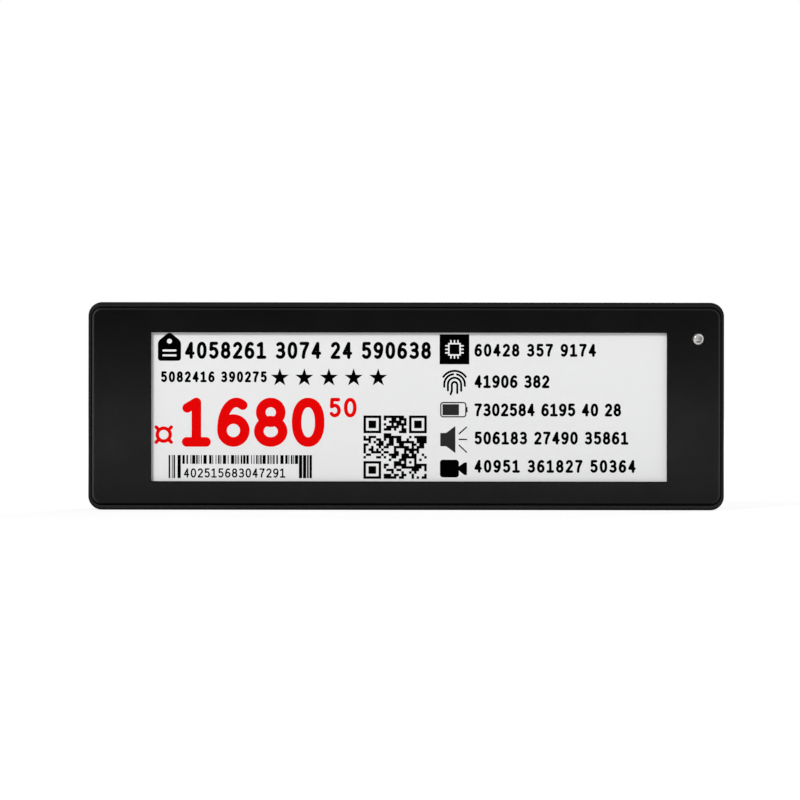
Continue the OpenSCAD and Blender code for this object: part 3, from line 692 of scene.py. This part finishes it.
def addStar(drawing, x, y, radius, hollow, tips=5):
    part = bmesh.new()
    rim = bmesh.ops.create_circle(part, cap_ends=True, segments=2 * tips, radius=radius)["verts"]
    bmesh.ops.scale(part, vec=(hollow, hollow, 1), verts=rim[1::2])
    turn = Vector((0, 1)).angle_signed(rim[0].co.xy)
    bmesh.ops.rotate(part, matrix=Matrix.Rotation(turn, 3, "Z"), verts=rim)
    bmesh.ops.translate(part, vec=(x, y, 0), verts=rim)
    thicken(part)
    pour(part, drawing)


def arc(x, y, radiusX, radiusY, start, end, steps=20):
    turns = [math.radians(start + (end - start) * i / steps) for i in range(steps + 1)]
    return [(x + radiusX * math.cos(t), y + radiusY * math.sin(t)) for t in turns]


# A square above 2 draws the oval out towards its corners
def oval(x, y, radiusX, radiusY, square=2.0, steps=36):
    points = []
    for i in range(steps):
        turn = 2 * math.pi * i / steps
        c, s = math.cos(turn), math.sin(turn)
        points.append((x + radiusX * math.copysign(abs(c) ** (2 / square), c),
                       y + radiusY * math.copysign(abs(s) ** (2 / square), s)))
    return points


def shifted(line, x, y):
    return [(x + px, y + py) for px, py in line]


# Bold strokes, wider than boldWidth in millimetres, get more points in their ends and ovals
boldWidth = 1
endPoints = {"fine": 14, "bold": 32}
ovalPoints = {"fine": 18, "bold": 40}


def weight(stroke):
    return "bold" if stroke > boldWidth else "fine"


# A stroke is a line of points and whether it closes: an open one gets round ends
def strokeMesh(strokes, width):
    walls = bmesh.new()
    ends = bmesh.new()
    for line, closed in strokes:
        verts = [walls.verts.new((x, y, 0)) for x, y in line]
        pairs = list(zip(verts, verts[1:]))
        if closed:
            pairs.append((verts[-1], verts[0]))
        else:
            for end in (line[0], line[-1]):
                addDisc(ends, *end, width / 2, endPoints[weight(width)])
        edges = [walls.edges.new(pair) for pair in pairs]
        made = bmesh.ops.extrude_edge_only(walls, edges=edges)
        bmesh.ops.translate(walls, vec=(0, 0, 1), verts=newVerts(made))
    bmesh.ops.recalc_face_normals(walls, faces=walls.faces[:])
    ribbon = meshObject("ribbon", walls)
    caps = meshObject("caps", ends)
    thick = ribbon.modifiers.new("thick", "SOLIDIFY")
    thick.thickness = width
    thick.offset = 0
    thick.use_even_offset = True
    joined = ribbon.modifiers.new("joined", "BOOLEAN")
    joined.operation = "UNION"
    joined.solver = "EXACT"
    joined.use_self = True
    joined.object = caps
    graph = bpy.context.evaluated_depsgraph_get()
    mesh = bpy.data.meshes.new_from_object(ribbon.evaluated_get(graph))
    for holder in (ribbon, caps):
        old = holder.data
        bpy.data.objects.remove(holder)
        bpy.data.meshes.remove(old)
    return mesh


def addMesh(drawing, mesh, x=0.0, y=0.0):
    count = len(drawing.verts)
    drawing.from_mesh(mesh)
    bmesh.ops.translate(drawing, vec=(x, y, 0), verts=drawing.verts[:][count:])


def addStrokes(drawing, strokes, width):
    mesh = strokeMesh(strokes, width)
    addMesh(drawing, mesh)
    bpy.data.meshes.remove(mesh)


# Digits in round-ended strokes. a and b are half the width and height of the stroke's middle line,
# the numbers beside them are shares of these, and the whole numbers in an arc are its angles.
def digitStrokes(digit, a, b, steps):
    turn = steps // 2
    six = [(oval(0, -0.42 * b, a, 0.58 * b, 2, steps), True),
           (arc(0.26 * a, -0.34 * b, 1.26 * a, 1.34 * b, 182, 64, turn), False)]
    shapes = {
        "0": [(oval(0, 0, a, b, 2.2, steps), True)],
        "1": [([(-0.95 * a, 0.72 * b), (0, b)], False),
              ([(0, b), (0, -b)], False),
              ([(-a, -b), (a, -b)], False)],
        "2": [(arc(0, 0.46 * b, 0.94 * a, 0.54 * b, 158, -28, turn) + [(-a, -b)], False),
              ([(-a, -b), (a, -b)], False)],
        "3": [(arc(-0.1 * a, 0.5 * b, 0.94 * a, 0.5 * b, 140, -90, turn), False),
              (arc(-0.1 * a, -0.48 * b, 1.1 * a, 0.52 * b, 90, -140, turn), False),
              ([(-0.4 * a, 0.02 * b), (-0.1 * a, 0.02 * b)], False)],
        "4": [([(0.42 * a, b), (-a, -0.42 * b)], False),
              ([(-a, -0.42 * b), (a, -0.42 * b)], False),
              ([(0.42 * a, b), (0.42 * a, -b)], False)],
        "5": [([(0.82 * a, b), (-0.72 * a, b)], False),
              ([(-0.72 * a, b), (-0.82 * a, 0.12 * b)], False),
              ([(-0.82 * a, 0.12 * b)]
               + arc(-0.06 * a, -0.36 * b, 1.06 * a, 0.64 * b, 118, -142, turn), False)],
        "6": six,
        "7": [([(-a, b), (a, b)], False),
              ([(a, b)] + arc(2.4 * a, -b, 2.7 * a, 2 * b, 140, 180, turn // 2), False)],
        "8": [(oval(0, 0.5 * b, 0.84 * a, 0.5 * b, 2, steps), True),
              (oval(0, -0.46 * b, a, 0.54 * b, 2, steps), True)],
        "9": [([(-x, -y) for x, y in line], closed) for line, closed in six],
    }
    return shapes[digit]


# Each digit is built once for each size, and copied from here
digitMeshes = {}


def addDigit(drawing, digit, x, y, wide, high, stroke):
    key = (digit, round(wide, 3), round(high, 3), stroke)
    if key not in digitMeshes:
        steps = ovalPoints[weight(stroke)]
        strokes = digitStrokes(digit, (wide - stroke) / 2, (high - stroke) / 2, steps)
        digitMeshes[key] = strokeMesh(strokes, stroke)
    addMesh(drawing, digitMeshes[key], x, y)


def addDigits(drawing, words, look):
    left, right, low, high = look["box"]
    steps = [look["space"] if c == " " else 1 for c in words]
    pitch = (right - left - look["wide"]) / sum(steps[:-1])
    for i, c in enumerate(words):
        if c != " ":
            x = left + look["wide"] / 2 + pitch * sum(steps[:i])
            addDigit(drawing, c, x, (low + high) / 2, look["wide"], high - low, look["stroke"])


# The screen's pieces, in millimetres from the label's middle
titleSet = {"words": "4058261 3074 24 590638", "box": (-45.1, 5.05, 9.6, 13.1), "stroke": 0.68,
            "wide": 2.0, "space": 0.6}


def drawTitle(look):
    drawing = bmesh.new()
    addDigits(drawing, look["words"], look)
    inkPiece("screenTitle", drawing, "inkBlack")


ratingSet = {
    "words": "5082416 390275", "box": (-50.0, -28.4, 4.83, 7.07), "stroke": 0.48,
    "wide": 1.28, "space": 0.6, "stars": (-25.76, -20.77, -15.76, -10.72, -5.71),
    "starY": 5.78, "starRadius": 1.93, "starHollow": 0.39,
}


def drawRating(look):
    drawing = bmesh.new()
    addDigits(drawing, look["words"], look)
    for x in look["stars"]:
        addStar(drawing, x, look["starY"], look["starRadius"], look["starHollow"])
    inkPiece("screenRating", drawing, "inkBlack")


priceSet = {
    "large": {"words": "1680", "low": -8.3, "high": 1.7, "stroke": 1.95,
              "boxes": ((-45.7, -39.8), (-38.5, -31.9), (-31.0, -24.2), (-23.3, -16.65))},
    "small": {"words": "50", "low": -2.3, "high": 1.7, "stroke": 0.74,
              "boxes": ((-15.7, -13.3), (-12.7, -10.1))},
    "sign": (-49.4, -5.85), "signRadius": 1.32, "signRay": 1.66, "signTurns": (45, 135, 225, 315),
    "signStroke": 0.7,
}


def drawPrice(look):
    drawing = bmesh.new()
    for row in (look["large"], look["small"]):
        middle, high = (row["low"] + row["high"]) / 2, row["high"] - row["low"]
        for digit, (left, right) in zip(row["words"], row["boxes"]):
            addDigit(drawing, digit, (left + right) / 2, middle, right - left, high, row["stroke"])
    x, y = look["sign"]
    radius = look["signRadius"]
    sign = [(oval(x, y, radius, radius), True)]
    for turn in look["signTurns"]:
        ray = [(math.cos(math.radians(turn)) * r, math.sin(math.radians(turn)) * r)
               for r in (radius, radius * look["signRay"])]
        sign.append((shifted(ray, x, y), False))
    addStrokes(drawing, sign, look["signStroke"])
    inkPiece("screenPrice", drawing, "inkRed")


lineSet = {
    "left": 13.9, "height": 2.65, "stroke": 0.54, "wide": 1.55, "space": 0.6,
    "rows": (("60428 357 9174", 38.7, 10.1), ("41906 382", 29.2, 3.7),
             ("7302584 6195 40 28", 43.8, -2.06), ("506183 27490 35861", 45.3, -7.8),
             ("40951 361827 50364", 46.8, -13.55)),
}


def drawLines(look):
    drawing = bmesh.new()
    for words, right, low in look["rows"]:
        addDigits(drawing, words, {**look, "box": (look["left"], right, low, low + look["height"])})
    inkPiece("screenLines", drawing, "inkBlack")


barcodeSet = {
    "seed": 41, "left": -48.4, "right": -19.2, "top": -10.0, "short": -11.8, "low": -14.7,
    "guardLeft": -45.5, "guardRight": -22.6, "module": 0.165, "bars": (1, 1, 2, 2, 3, 4),
    "gaps": (1, 1, 2, 2, 3), "words": "402515683047291",
    "box": (-45.3, -24.6, -14.6, -12.7), "stroke": 0.3, "wide": 1.12, "space": 0.6,
}


def drawBarcode(look):
    drawing = bmesh.new()
    chance = random.Random(look["seed"])
    x = look["left"]
    while x < look["right"]:
        bar = chance.choice(look["bars"]) * look["module"]
        gap = chance.choice(look["gaps"]) * look["module"]
        guard = x + bar < look["guardLeft"] or x > look["guardRight"]
        low = look["low"] if guard else look["short"]
        addBar(drawing, x, min(x + bar, look["right"]), low, look["top"])
        x += bar + gap
    addDigits(drawing, look["words"], look)
    inkPiece("screenBarcode", drawing, "inkBlack")


matrixSet = {
    "seed": 7, "left": -8.7, "top": -1.9, "module": 0.516, "count": 25, "share": 0.52,
    "finderMiddle": 3, "finder": {"reach": 4, "pale": (2, 4)},
    "markMiddle": 18, "mark": {"reach": 2, "pale": (1,)},
}


# Whether a square of a target is dark, or None where it lies outside the target
def targetDark(column, row, middle, target):
    away = max(abs(column - middle[0]), abs(row - middle[1]))
    return None if away > target["reach"] else away not in target["pale"]


def drawMatrix(look):
    drawing = bmesh.new()
    chance = random.Random(look["seed"])
    count, module = look["count"], look["module"]
    bmesh.ops.create_grid(drawing, x_segments=count, y_segments=count, size=count * module / 2)
    middle = (look["left"] + count * module / 2, look["top"] - count * module / 2, 0)
    bmesh.ops.translate(drawing, vec=middle, verts=drawing.verts)
    near = look["finderMiddle"]
    far = count - 1 - near
    targets = [(at, look["finder"]) for at in ((near, near), (far, near), (near, far))]
    targets.append(((look["markMiddle"],) * 2, look["mark"]))
    pale = []
    for face in drawing.faces:
        place = face.calc_center_median()
        column = int((place.x - look["left"]) / module)
        row = int((look["top"] - place.y) / module)
        dark = chance.random() < look["share"]
        fixed = [targetDark(column, row, at, target) for at, target in targets]
        fixed = [state for state in fixed if state is not None]
        if fixed:
            dark = fixed[0]
        if not dark:
            pale.append(face)
    bmesh.ops.delete(drawing, geom=pale, context="FACES")
    thicken(drawing)
    inkPiece("screenMatrix", drawing, "inkBlack")


# The print's ridges are arcs of a radius, from one angle to another, with a straight leg at each end
iconSet = {
    "tag": ((-50.6, 9.2), (-45.9, 9.2), (-45.9, 13.2), (-48.25, 15.1), (-50.6, 13.2)),
    "tagCorner": 0.6, "tagHole": (-48.25, 13.2, 0.5),
    "tagBars": ((-49.5, -47.0, 11.3), (-49.5, -47.0, 10.3)), "tagStroke": 0.42,
    "square": (6.8, 12.85, 8.55, 14.65),
    "chipHalf": 1.15, "chipPin": 0.62, "chipPitch": 0.72, "chipStroke": 0.3,
    "print": (9.85, 4.45), "printStroke": 0.42,
    "ridges": ((2.75, 146, 34, 0, 0), (2.1, 180, 98, 0.5, 0), (2.1, 76, 0, 0, 0.3),
               (1.35, 180, 0, 1.2, 1.3)),
    "coreArc": (0, -0.1, 0.55, 0.6), "coreLeft": ((-0.8, -2.0), (-0.55, -1.3)),
    "coreRight": ((0.55, -1.75),),
    "battery": (7.05, 12.15, -2.15, 0.75), "batteryCorner": 0.5, "batteryStroke": 0.25,
    "batteryFill": (7.4, 10.75, -1.83, 0.42), "batteryNub": (12.2, 12.5, -1.25, -0.15),
    "speaker": ((6.95, -5.45), (8.15, -5.45), (10.03, -4.0), (10.03, -9.55), (8.15, -8.15),
                (6.95, -8.15)),
    "speakerCorner": 0.18,
    "speakerRays": (((10.8, -5.6), (12.3, -4.25)), ((10.8, -6.75), (12.35, -6.75)),
                    ((10.8, -7.95), (12.3, -9.35))),
    "rayStroke": 0.26,
    "camera": ((6.9, -14.5), (10.75, -14.5), (10.75, -10.9), (6.9, -10.9)), "cameraCorner": 0.6,
    "cameraHood": ((10.6, -12.95), (10.6, -12.4), (11.85, -11.45), (12.4, -11.45), (12.4, -14.0),
                   (11.85, -14.0)),
    "hoodCorner": 0.12,
}


def printStrokes(look):
    x, y = look["print"]
    strokes = []
    for radius, start, end, leftLeg, rightLeg in look["ridges"]:
        ridge = arc(x, y, radius, radius, start, end)
        if leftLeg:
            ridge.insert(0, (x - radius, y - leftLeg))
        if rightLeg:
            ridge.append((x + radius, y - rightLeg))
        strokes.append((ridge, False))
    coreX, coreY, radiusX, radiusY = look["coreArc"]
    core = arc(x + coreX, y + coreY, radiusX, radiusY, 180, 0)
    strokes.append((shifted(look["coreLeft"], x, y) + core + shifted(look["coreRight"], x, y), False))
    return strokes


def chipStrokes(look):
    left, right, low, high = look["square"]
    x, y, half = (left + right) / 2, (low + high) / 2, look["chipHalf"]
    body = [(x - half, y - half), (x + half, y - half), (x + half, y + half), (x - half, y + half)]
    strokes = [(body, True)]
    for step in (-1, 0, 1):
        along = step * look["chipPitch"]
        for side in (-1, 1):
            foot, tip = side * half, side * (half + look["chipPin"])
            strokes.append(([(x + along, y + foot), (x + along, y + tip)], False))
            strokes.append(([(x + foot, y + along), (x + tip, y + along)], False))
    return strokes


def batteryOutline(look):
    left, right, low, high = look["battery"]
    r = look["batteryCorner"]
    corners = ((right - r, high - r, 90), (right - r, low + r, 0), (left + r, low + r, -90),
               (left + r, high - r, 180))
    return [spot for x, y, turn in corners for spot in arc(x, y, r, r, turn, turn - 90, cornerSteps)]


def drawIcons(look):
    black = bmesh.new()
    grey = bmesh.new()
    white = bmesh.new()
    addShape(black, look["tag"], look["tagCorner"])
    addDisc(white, *look["tagHole"])
    bars = [([(left, y), (right, y)], False) for left, right, y in look["tagBars"]]
    addStrokes(white, bars, look["tagStroke"])
    addBar(black, *look["square"])
    addStrokes(white, chipStrokes(look), look["chipStroke"])
    addStrokes(black, printStrokes(look), look["printStroke"])
    addStrokes(grey, [(batteryOutline(look), True)], look["batteryStroke"])
    addBar(grey, *look["batteryFill"])
    addBar(grey, *look["batteryNub"])
    addShape(grey, look["speaker"], look["speakerCorner"])
    addStrokes(black, [(ray, False) for ray in look["speakerRays"]], look["rayStroke"])
    addShape(black, look["camera"], look["cameraCorner"])
    addShape(black, look["cameraHood"], look["hoodCorner"])
    inkPiece("screenIcons", black, "inkBlack")
    inkPiece("screenGreyIcons", grey, "inkGrey")
    inkPiece("screenWhiteMarks", white, "inkWhite", layers=2)


drawTitle(titleSet)
drawRating(ratingSet)
drawPrice(priceSet)
drawLines(lineSet)
drawBarcode(barcodeSet)
drawMatrix(matrixSet)
drawIcons(iconSet)
for mesh in digitMeshes.values():
    bpy.data.meshes.remove(mesh)
print("screen drawing in place")


# Plus signs etched in the cells' outer faces, above the door's pads
cellMarkSet = {"arm": 1.9, "width": 0.6, "up": 7.2, "sink": 0.01, "rise": 0.015}
etchedLook = {**inkLook, "grainScale": 6000, "colour": (0.05, 0.05, 0.05), "speckle": (0.09, 0.09, 0.09)}


def drawCellMarks(look, material):
    drawing = bmesh.new()
    arm, half = look["arm"], look["width"] / 2
    quarter = ((half, half), (half, arm), (-half, arm))
    for node in coinCells:
        low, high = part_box(node)
        x = (low.x + high.x) / 2 / mm
        y = (low.z + high.z) / 2 / mm + look["up"]
        plus = [(x + c * px - s * py, y + s * px + c * py)
                for c, s in ((1, 0), (0, 1), (-1, 0), (0, -1)) for px, py in quarter]
        addShape(drawing, plus)
    depth = (look["sink"] + look["rise"]) * mm
    place = (0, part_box("coin_cell_1")[1].y + look["rise"] * mm, 0)
    marks = standUp("cellMarks", drawing, material, depth, place)
    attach(marks, "label")


drawCellMarks(cellMarkSet, inkFinish("etchedMark", etchedLook))
print("cell marks in place")


# Floor, world and lamps. The camera sees the floor as grey with a glow that grows with distance,
# and the world as white. Other rays meet a plain pale floor and a dimmer world.
stageSet = {"floorSize": 6.0, "floorGlow": 0.78, "farGlow": 1.0, "glowFrom": (0.14, 0.4),
            "floorShade": 0.25, "floorBounce": 0.75, "sky": 0.47}


# 1 for rays from the camera, also through clear pieces, and 0 for the rest
def directRays(tree):
    seen = tree.nodes.new("ShaderNodeLightPath")
    return maths(tree, "MAXIMUM", seen.outputs["Is Camera Ray"], seen.outputs["Is Transmission Ray"])


def greyDiffuse(tree, grey):
    node = tree.nodes.new("ShaderNodeBsdfDiffuse")
    node.inputs["Color"].default_value = (grey, grey, grey, 1)
    return node.outputs[0]


def makeStage(look):
    drawing = bmesh.new()
    bmesh.ops.create_grid(drawing, x_segments=1, y_segments=1, size=look["floorSize"] / 2)
    floor = meshObject("floor", drawing)
    material = bpy.data.materials.new("paleFloor")
    tree = emptyTree(material)
    away = tree.nodes.new("ShaderNodeVectorMath")
    away.operation = "LENGTH"
    wire(tree, objectPoint(tree), away.inputs[0])
    glow = tree.nodes.new("ShaderNodeEmission")
    strength = spread(tree, away.outputs["Value"], look["floorGlow"], look["farGlow"], *look["glowFrom"])
    wire(tree, strength, glow.inputs["Strength"])
    both = tree.nodes.new("ShaderNodeAddShader")
    wire(tree, greyDiffuse(tree, look["floorShade"]), both.inputs[0])
    wire(tree, glow.outputs[0], both.inputs[1])
    pick = tree.nodes.new("ShaderNodeMixShader")
    wire(tree, directRays(tree), pick.inputs[0])
    wire(tree, greyDiffuse(tree, look["floorBounce"]), pick.inputs[1])
    wire(tree, both.outputs[0], pick.inputs[2])
    out = tree.nodes.new("ShaderNodeOutputMaterial")
    wire(tree, pick.outputs[0], out.inputs["Surface"])
    floor.data.materials.append(material)


def makeWorld(look):
    scene.world = bpy.data.worlds.new("studio")
    tree = emptyTree(scene.world)
    sky = tree.nodes.new("ShaderNodeBackground")
    sky.inputs["Color"].default_value = (1, 1, 1, 1)
    strength = spread(tree, directRays(tree), look["sky"], 1, 0, 1)
    wire(tree, strength, sky.inputs["Strength"])
    out = tree.nodes.new("ShaderNodeOutputWorld")
    wire(tree, sky.outputs[0], out.inputs["Surface"])


def makeLamp(name, look):
    lamp = bpy.data.objects.new(name, bpy.data.lights.new(name, "AREA"))
    scene.collection.objects.link(lamp)
    lamp.data.shape = "RECTANGLE"
    lamp.data.size, lamp.data.size_y = look["size"]
    lamp.data.energy = look["watts"]
    lamp.location = look["place"]
    aim = Vector(look["aim"]) - Vector(look["place"])
    lamp.rotation_euler = aim.to_track_quat("-Z", "Y").to_euler()
    lamp.visible_camera = False
    lamp.visible_diffuse = look["lightsSurfaces"]


# The key and back lamps light everything; the strips are seen only in glossy edges
lampSets = {
    "keyLamp": {"place": (-0.84, -1.2, 0.9), "aim": (0, 0, 0.02), "size": (0.4, 0.4), "watts": 18.7,
                "lightsSurfaces": True},
    "backLamp": {"place": (0.5, 0.9, 0.6), "aim": (0, 0, 0.02), "size": (0.5, 0.5), "watts": 9.0,
                 "lightsSurfaces": True},
    "lowStrip": {"place": (0, -0.09, 0.012), "aim": (0, 0, 0.012), "size": (0.34, 0.018),
                 "watts": 0.16, "lightsSurfaces": False},
    "rightStrip": {"place": (0.2, -0.55, 0.0), "aim": (0, 0, 0.02), "size": (0.05, 0.3),
                   "watts": 0.2, "lightsSurfaces": False},
}
makeStage(stageSet)
makeWorld(stageSet)
for name, look in lampSets.items():
    makeLamp(name, look)
print("stage and lamps in place")
